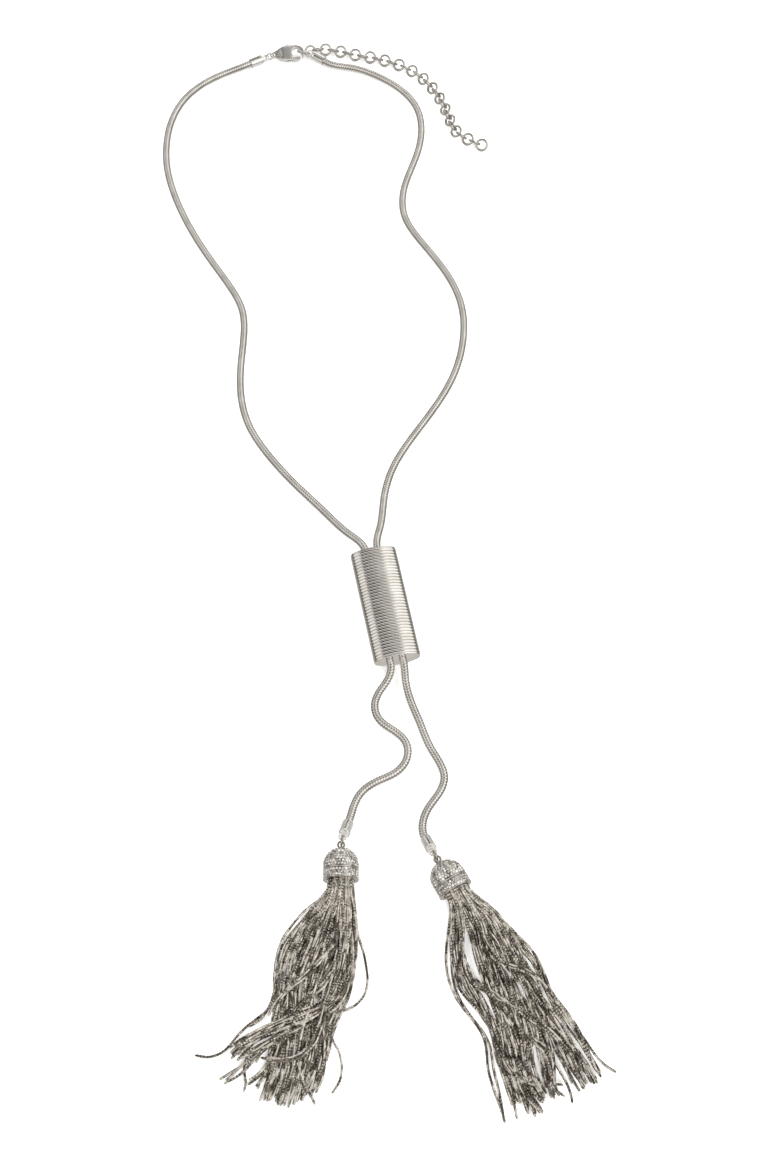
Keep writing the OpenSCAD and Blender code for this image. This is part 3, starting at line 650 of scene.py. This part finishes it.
def oval(w, t, side_r, count):
    """Points round the slider's four-arc oval."""
    reach = w / 2 - side_r
    flat_r = (reach**2 + (t / 2) ** 2 - side_r**2) / (t - 2 * side_r)
    points = []
    for k in range(count):
        a = 2 * math.pi * k / count
        d = np.array([math.cos(a), math.sin(a)])
        # Distance from the middle along d to the nearer arc
        best = math.inf
        for centre, radius in (((0, t / 2 - flat_r), flat_r), ((0, flat_r - t / 2), flat_r)):
            c = np.array(centre)
            dot = d @ c
            best = min(best, dot + math.sqrt(dot * dot - c @ c + radius * radius))
        point = best * d
        meet = reach * flat_r / (flat_r - side_r)
        if abs(point[0]) > meet:
            c = np.array([math.copysign(reach, d[0]), 0])
            dot = d @ c
            point = (dot + math.sqrt(dot * dot - c @ c + side_r**2)) * d
        points.append(point)
    return np.array(points)


def slider_space(across, height, down):
    """Points of the part from the slider's own width, height and length."""
    c, s = math.cos(math.radians(SLIDER_TURN)), math.sin(math.radians(SLIDER_TURN))
    x = SLIDER_CENTRE[0] + across * c + down * s
    y = SLIDER_CENTRE[1] + across * s - down * c
    return np.stack([x, y, height + SLIDER_T / 2], axis=-1)


def slider_stations():
    """Place along the slider and inset of each of its sections."""
    half = SLIDER_L / 2
    pitch = SLIDER_RIBBED / SLIDER_RIBS
    stations = [(x - half, inset) for x, inset in PLATE_STEPS]
    for i in range(SLIDER_RIBS):
        for phase in SLIDER_RIB_STEPS:
            place = SLIDER_PLATE - half + (i + phase) * pitch
            stations.append((place, rib_inset(phase, SLIDER_GROOVE)))
    return stations + [(half - x, inset) for x, inset in reversed(PLATE_STEPS)]


def fill_end(bm, loops):
    """Flat face of the slider between its outline and the bores."""
    edges = []
    for loop in loops:
        for k, v in enumerate(loop):
            edges.append(bm.edges.get((bm.verts[v], bm.verts[loop[(k + 1) % len(loop)]])))
    for face in bmesh.ops.triangle_fill(bm, edges=edges, use_beauty=True)["geom"]:
        if isinstance(face, bmesh.types.BMFace):
            face.smooth = False


def build_slider():
    count = SLIDER_SIDES
    half = SLIDER_L / 2
    stations = slider_stations()
    rings = []
    for down, inset in stations:
        ring = oval(SLIDER_W - 2 * inset, SLIDER_T - 2 * inset, SLIDER_SIDE_R - inset, count)
        rings.append(slider_space(ring[:, 0], ring[:, 1], np.full(count, down)))
    points = np.concatenate(rings)
    faces = []
    for i in range(len(stations) - 1):
        for k in range(count):
            a, b = i * count + k, i * count + (k + 1) % count
            faces.append((a, a + count, b + count, b))
    # Bores through the whole length
    angle = np.arange(BORE_SIDES) * 2 * math.pi / BORE_SIDES
    loops = {0: [list(range(count))], 1: [[(len(stations) - 1) * count + k for k in range(count)]]}
    extra = [points]
    start = len(points)
    for across in BORE_X:
        ends = []
        for down in (-half, half):
            loop = slider_space(across + BORE_R * np.cos(angle), BORE_R * np.sin(angle),
                                np.full(BORE_SIDES, down))
            ends.append(list(range(start, start + BORE_SIDES)))
            extra.append(loop)
            start += BORE_SIDES
        loops[0].append(ends[0])
        loops[1].append(ends[1])
        for k in range(BORE_SIDES):
            n = (k + 1) % BORE_SIDES
            faces.append((ends[0][k], ends[0][n], ends[1][n], ends[1][k]))
    points = np.concatenate(extra)
    obj = mesh_object("slider_shell", points, faces, RIB_METAL)
    bm = bmesh.new()
    bm.from_mesh(obj.data)
    bm.verts.ensure_lookup_table()
    for end in (0, 1):
        fill_end(bm, loops[end])
    bmesh.ops.recalc_face_normals(bm, faces=bm.faces)
    bm.to_mesh(obj.data)
    bm.free()
    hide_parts("slider")


build_slider()


# Clasp, lever and end caps: softened castings

# Half thickness of the clasp in part.scad, at places along it from its eye
SOURCE_AT = (1.3, 2.8, 7.5, 7.7)
SOURCE_HALF = (0.45, 1.2, 1.2, 0.9)
# The same when rounded: at the eye, how much fuller in the body and how much finer at the hook,
# each with the place where that begins and the length over which it comes
EYE_HALF = 0.45
BODY_FULLER = 0.7
BODY_FROM, BODY_RUN = 0.9, 3.2
HOOK_FINER = 0.4
HOOK_FROM, HOOK_RUN = 5.5, 4.5
# Middle and half width of the clasp across, and the share by which its dome is thinner at the rim
DOME_MIDDLE = 0.4
DOME_HALF = 3.4
CLASP_DOME = 0.45


def clasp_dome(mesh):
    """Round the clasp's casting over: thin at the eye, full in the body, finer at the hook, and domed
    across. The source's half thickness at each place is known, so it is scaled to the rounded one."""
    turn = math.radians(CLASP_TURN)
    tilt = math.radians(CLASP_TILT)
    x_axis = np.array([math.cos(turn), math.sin(turn), 0])
    y_axis = np.array([-math.sin(turn) * math.cos(tilt), math.cos(turn) * math.cos(tilt),
                       math.sin(tilt)])
    z_axis = np.cross(x_axis, y_axis)
    flat = np.empty(len(mesh.vertices) * 3)
    mesh.vertices.foreach_get("co", flat)
    p = flat.reshape(-1, 3) / MM - CLASP_EYE
    x, y, z = p @ x_axis, p @ y_axis, p @ z_axis
    source = np.interp(x, SOURCE_AT, SOURCE_HALF)
    fuller = BODY_FULLER * smooth_step((x - BODY_FROM) / BODY_RUN)
    finer = HOOK_FINER * smooth_step((x - HOOK_FROM) / HOOK_RUN)
    rounded = EYE_HALF + fuller - finer
    dome = 1 - CLASP_DOME * np.clip(((y - DOME_MIDDLE) / DOME_HALF) ** 2, 0, 1)
    p = p + (z * (rounded / source * dome - 1))[:, None] * z_axis
    mesh.vertices.foreach_set("co", ((p + CLASP_EYE) * MM).ravel())


def softened(name, node, body, mat, voxel, rounds, shape=None):
    """A rounded casting made from a node's own solid."""
    obj = bpy.data.objects.new(name, nodes[node].data.copy())
    bpy.context.collection.objects.link(obj)
    obj.matrix_world = nodes[node].matrix_world.copy()
    obj.data.materials.clear()
    obj.data.materials.append(mat)
    remesh = obj.modifiers.new("remesh", "REMESH")
    remesh.mode = "VOXEL"
    remesh.voxel_size = voxel * MM
    soften = obj.modifiers.new("soften", "SMOOTH")
    soften.factor = 0.5
    soften.iterations = rounds
    dg = bpy.context.evaluated_depsgraph_get()
    mesh = bpy.data.meshes.new_from_object(obj.evaluated_get(dg))
    obj.modifiers.clear()
    if shape:
        shape(mesh)
    obj.data = mesh
    mesh.materials.clear()
    mesh.materials.append(mat)
    mesh.shade_smooth()
    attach(obj, body)
    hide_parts(node)


softened("clasp_casting", "clasp_body", BODY, CLASP_METAL,
         voxel=0.085, rounds=14, shape=clasp_dome)
softened("lever_casting", "clasp_lever", "lever", CLASP_METAL,
         voxel=0.07, rounds=6, shape=clasp_dome)
for end in ("clasp", "ring", "tassel_left", "tassel_right"):
    softened("crimp_" + end, "end_cap_" + end, BODY, CRIMP_METAL, voxel=0.09, rounds=3)


# Rings and links keep their own solids

def dress(node, mat):
    for slot in nodes[node].material_slots:
        slot.link = "OBJECT"
        slot.material = mat


for name in ("ring_clasp", "ring_hooked"):
    dress(name, SILVER)
for name in ("ring_tassel_left", "ring_tassel_right"):
    dress(name, RING_METAL)
dress("extender_chain", LINK_METAL)


# Tassel caps

def cap_space(cap, heading, p):
    """Points of the part from a cap's own space, whose X runs to the open end."""
    d = along(heading, -CAP_TILT)
    side = np.array([-math.sin(math.radians(heading)), math.cos(math.radians(heading)), 0])
    up = np.cross(d, side)
    p = np.asarray(p, float)
    return cap + p[..., 0:1] * d + p[..., 1:2] * side + p[..., 2:3] * up


# A stone's table, girdle and foot: radius and height in shares of its radius, and turn in facets
STONE_RINGS = ((0.52, 0.34, 0.5), (1.0, 0.0, 0.0), (0.8, -0.35, 0.5))
STONE_SIDES = 8


def stone(centre, normal, turn, r):
    """A small brilliant-cut stone: table, crown, girdle and short pavilion."""
    n = normal / np.linalg.norm(normal)
    u = np.cross(n, [1.0, 0, 0])
    if np.linalg.norm(u) < 0.2:
        u = np.cross(n, [0, 1.0, 0])
    u /= np.linalg.norm(u)
    v = np.cross(n, u)
    points, faces = [], []
    sides = STONE_SIDES
    for wide, lift, twist in STONE_RINGS:
        for k in range(sides):
            a = turn + 2 * math.pi * (k + twist) / sides
            points.append(centre + wide * r * (math.cos(a) * u + math.sin(a) * v) + lift * r * n)
    faces.append(tuple(range(sides)))
    for k in range(sides):
        m = (k + 1) % sides
        faces.append((k, sides + k, sides + m))
        faces.append((k, sides + m, m))
        faces.append((sides + k, 2 * sides + k, 2 * sides + m))
        faces.append((sides + k, 2 * sides + m, sides + m))
    return points, faces


STONE_R = 0.42
STONE_SPACING = 0.9
STONE_LIFT = 0.05
STONE_LEAN = 0.2
FLOOR_GAP = 0.01
DOME_ROWS = range(18, 90, 10)
SKIRT_ROWS = (0.62, 2.2, 2.98, 3.68)
# Wires of the cap's two bands
WIRE_ROWS = (1.45, 4.22)
WIRE_R = 0.17
WIRE_WAIST = 0.7
WIRE_STEPS = 96
WIRE_SIDES = 6


def pave(name, cap, heading):
    """Rows of stones, by angle from the pole on the dome and by distance to the open end below it."""
    points, faces = [], []
    rows = []
    for angle in DOME_ROWS:
        a = math.radians(angle)
        rows.append((CAP_R * math.sin(a), -CAP_R * math.cos(a), math.sin(a), -math.cos(a)))
    for x in SKIRT_ROWS:
        rows.append((CAP_R, x, 1.0, 0.0))
    for j, (radius, x, out, back) in enumerate(rows):
        count = max(6, int(2 * math.pi * radius / STONE_SPACING))
        for k in range(count):
            a = 2 * math.pi * (k + 0.5 * (j % 2)) / count
            c = np.array([x, radius * math.cos(a), radius * math.sin(a)])
            n = np.array([back, out * math.cos(a), out * math.sin(a)])
            lean = rng.normal(0, STONE_LEAN, 3)
            got, quads = stone(c + STONE_LIFT * n, n + lean, rng.uniform(0, 1), STONE_R)
            base = len(points)
            points += list(cap_space(cap, heading, np.array(got)))
            faces += [tuple(base + i for i in f) for f in quads]
    points = np.array(points)
    points[:, 2] = np.maximum(points[:, 2], FLOOR_GAP)
    mesh_object(name, points, faces, STONE, smooth=False)


def band_wires(name, cap, heading):
    """Beaded wire round each band of a cap."""
    around, across = WIRE_STEPS, WIRE_SIDES
    points, faces = [], []
    for x in WIRE_ROWS:
        base = len(points)
        for i in range(around):
            a = 2 * math.pi * i / around
            r = WIRE_R * (1.0 if i % 2 else WIRE_WAIST)
            for k in range(across):
                b = 2 * math.pi * k / across
                radius = CAP_R + CAP_BAND + r * math.cos(b)
                points.append((x + r * math.sin(b), radius * math.cos(a), radius * math.sin(a)))
        for i in range(around):
            for k in range(across):
                n = (k + 1) % across
                here, there = base + i * across, base + (i + 1) % around * across
                faces.append((here + k, here + n, there + n, there + k))
    points = cap_space(cap, heading, np.array(points))
    points[:, 2] = np.maximum(points[:, 2], FLOOR_GAP)
    mesh_object(name, points, faces, SILVER)


TASSELS = (("left", CAP_LEFT, CAP_LEFT_HEADING), ("right", CAP_RIGHT, CAP_RIGHT_HEADING))
for side, cap, heading in TASSELS:
    dress("tassel_cap_" + side, CAP_METAL)
    pave("pave_" + side, cap, heading)
    band_wires("band_wires_" + side, cap, heading)


# Fringes of fine chain

STRAND_R = 0.41
STRAND_SIDES = 6
STRAND_STEP = 0.43
STRAND_SPACING = 0.88
LAYER_RISE = 0.76
# Radius in which the strands leave a cap, and how high in it each layer lies
MOUTH_R = 3.42
MOUTH_LIFT = (0.1, 0.45, 0.75, 1.0, 1.0)
# How much lower the second course of a bundle leaves the cap, the straight lengths before and
# after the mouth with the drop over the second, and the distance in which a strand comes down
UNDER_DROP = 0.8
INSIDE = 3
MOUTH_RUN = 1.6
MOUTH_DROP = 0.1
LANDING = 15
STRAND_GAP = 0.02
# Bead and waist of a strand, and its tip, in shares of its radius
STRAND_WAIST = 0.84
STRAND_TIP = 0.6
# Distance from the cap where a bundle begins to loosen, the length over which it does, and how
# close its strands lie in the mouth
LOOSE_FROM, LOOSE_RUN = 3, 12
MOUTH_CLOSE = 0.55
# Neighbours that change places: how often, from where in shares of the length, and over how much
SWAP_CHANCE = 0.5
SWAP_FROM = (0.35, 0.55)
SWAP_RUN = 0.3
# Spread of the tips, and where in shares of the length it begins
SPLAY = 0.5
SPLAY_FROM = 0.85
# Waves of a strand, sideways and up, as lengths and sizes
SWAY_LENGTH, SWAY_SIZE = (18, 34), (0.15, 0.5)
RISE_LENGTH, RISE_SIZE, RISE_IN_MOUTH = (9, 16), 0.3, 0.4
# Turn of a bundle's strands about their length, steady and in waves, and then of each strand
BUNDLE_TWIST, BUNDLE_TURN_LENGTH, BUNDLE_TURN = 0.05, (12, 24), 0.3
STRAND_TURN_START, STRAND_TURN_LENGTH, STRAND_TURN = 0.25, (3, 6), 0.15
# Most by which a strand in a bundle is shorter than its way
SHORTER = 3.4
# Plug of tied ends inside the cap: distance towards the open end and radius
PLUG = ((-1.0, 2.6), (0.4, 3.5), (1.6, 3.5), (1.7, 3.0))
PLUG_SIDES = 24


def strand_way(u, layer, under, way, cap, heading):
    """Points from inside the cap, out of its mouth and down to the surface, then along the way."""
    d = along(heading, -CAP_TILT)
    side = np.array([-math.sin(math.radians(heading)), math.cos(math.radians(heading)), 0])
    lift = math.sqrt(MOUTH_R**2 - u**2) * MOUTH_LIFT[layer] - UNDER_DROP * under
    out = cap + CAP_SKIRT * d + u * side + lift * np.cross(d, side)
    z = STRAND_R + STRAND_GAP + LAYER_RISE * (layer - under)
    points = [out - INSIDE * d, out, out + MOUTH_RUN * d - np.array([0, 0, MOUTH_DROP])]
    for x, y in way:
        far = math.hypot(x - out[0], y - out[1])
        points.append((x, y, z + (out[2] - z) * max(0, 1 - far / LANDING) ** 2))
    return points


def strand_ring(path, turn):
    """Rings of a fine faceted chain of small beads, turned about its length as given."""
    _, side, up = frames(path)
    n = len(path)
    r = np.where(np.arange(n) % 2 == 0, STRAND_WAIST, 1.0) * STRAND_R
    r[0] = r[-1] = STRAND_TIP * STRAND_R
    angle = turn[:n, None] + np.arange(STRAND_SIDES)[None, :] * 2 * math.pi / STRAND_SIDES
    return (r[:, None, None] * (np.cos(angle)[..., None] * side[:, None, :]
                                + np.sin(angle)[..., None] * up[:, None, :]) + path[:, None, :])


def waves(s, length, size):
    """A slow wave along a strand, of random length between the two given and random phase."""
    return size * np.sin(2 * math.pi * (s / rng.uniform(*length) + rng.uniform(0, 1)))


def swapped(lanes):
    """Lanes at the far end of a bundle, where some neighbours have changed places."""
    ends = lanes.copy()
    for k in range(len(lanes) - 1):
        if rng.uniform() < SWAP_CHANCE:
            ends[[k, k + 1]] = ends[[k + 1, k]]
    return ends


def laid(middle, side, s, lane, end):
    """Path of one strand, from its lane at the cap to its lane at the far end."""
    share = s / s[-1]
    away = smooth_step((s - LOOSE_FROM) / LOOSE_RUN)
    swap = smooth_step((share - rng.uniform(*SWAP_FROM)) / SWAP_RUN)
    off = (lane + (end - lane) * swap) * STRAND_SPACING * (MOUTH_CLOSE + (1 - MOUTH_CLOSE) * away)
    splay = rng.normal(0, SPLAY) * smooth_step((share - SPLAY_FROM) / (1 - SPLAY_FROM))
    off = off + away * (waves(s, SWAY_LENGTH, rng.uniform(*SWAY_SIZE)) + splay)
    path = middle + off[:, None] * side
    rise = (RISE_IN_MOUTH + (1 - RISE_IN_MOUTH) * away) * waves(s, RISE_LENGTH, RISE_SIZE)
    path[:, 2] = np.maximum(path[:, 2] + rise, STRAND_R + STRAND_GAP)
    return path


def fringe(name, node, bundles, cap, heading):
    """All strands of a tassel, in bundles of one or two courses, and the plug that holds them."""
    points, faces = [], []
    total = 0
    for u, count, layer, way in bundles:
        for under in (0, 1):
            n = count - under
            if n == 0 or (under and layer == 0):
                continue
            middle = spline(strand_way(u, layer, under, way, cap, heading), STRAND_STEP)
            side = frames(middle)[1]
            s = np.arange(len(middle)) * STRAND_STEP
            lanes = np.arange(n) - (n - 1) / 2
            ends = swapped(lanes)
            turn = rng.uniform(0, 1) + rng.uniform(-BUNDLE_TWIST, BUNDLE_TWIST) * s
            turn += waves(s, BUNDLE_TURN_LENGTH, BUNDLE_TURN)
            for lane, end in zip(lanes, ends):
                path = laid(middle, side, s, lane, end)
                if n > 1:
                    path = path[: len(path) - int(rng.uniform(0, SHORTER) / STRAND_STEP)]
                own = rng.normal(0, STRAND_TURN_START) + waves(s, STRAND_TURN_LENGTH, STRAND_TURN)
                ring = strand_ring(path, turn + own)
                points.append(ring.reshape(-1, 3))
                faces.extend(tube_faces(len(path), STRAND_SIDES, total))
                total += ring.shape[0] * STRAND_SIDES
    angle = np.arange(PLUG_SIDES) * 2 * math.pi / PLUG_SIDES
    for x, r in PLUG:
        ring = np.stack([np.full(PLUG_SIDES, x), r * np.cos(angle), r * np.sin(angle)], axis=1)
        points.append(cap_space(cap, heading, ring))
    faces.extend(tube_faces(len(PLUG), PLUG_SIDES, total))
    obj = mesh_object(name, np.concatenate(points), faces, STRAND_METAL, smooth=False)
    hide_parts(node)


fringe("strands_left", "tassel_fringe_left", BUNDLES_LEFT, CAP_LEFT, CAP_LEFT_HEADING)
fringe("strands_right", "tassel_fringe_right", BUNDLES_RIGHT, CAP_RIGHT, CAP_RIGHT_HEADING)
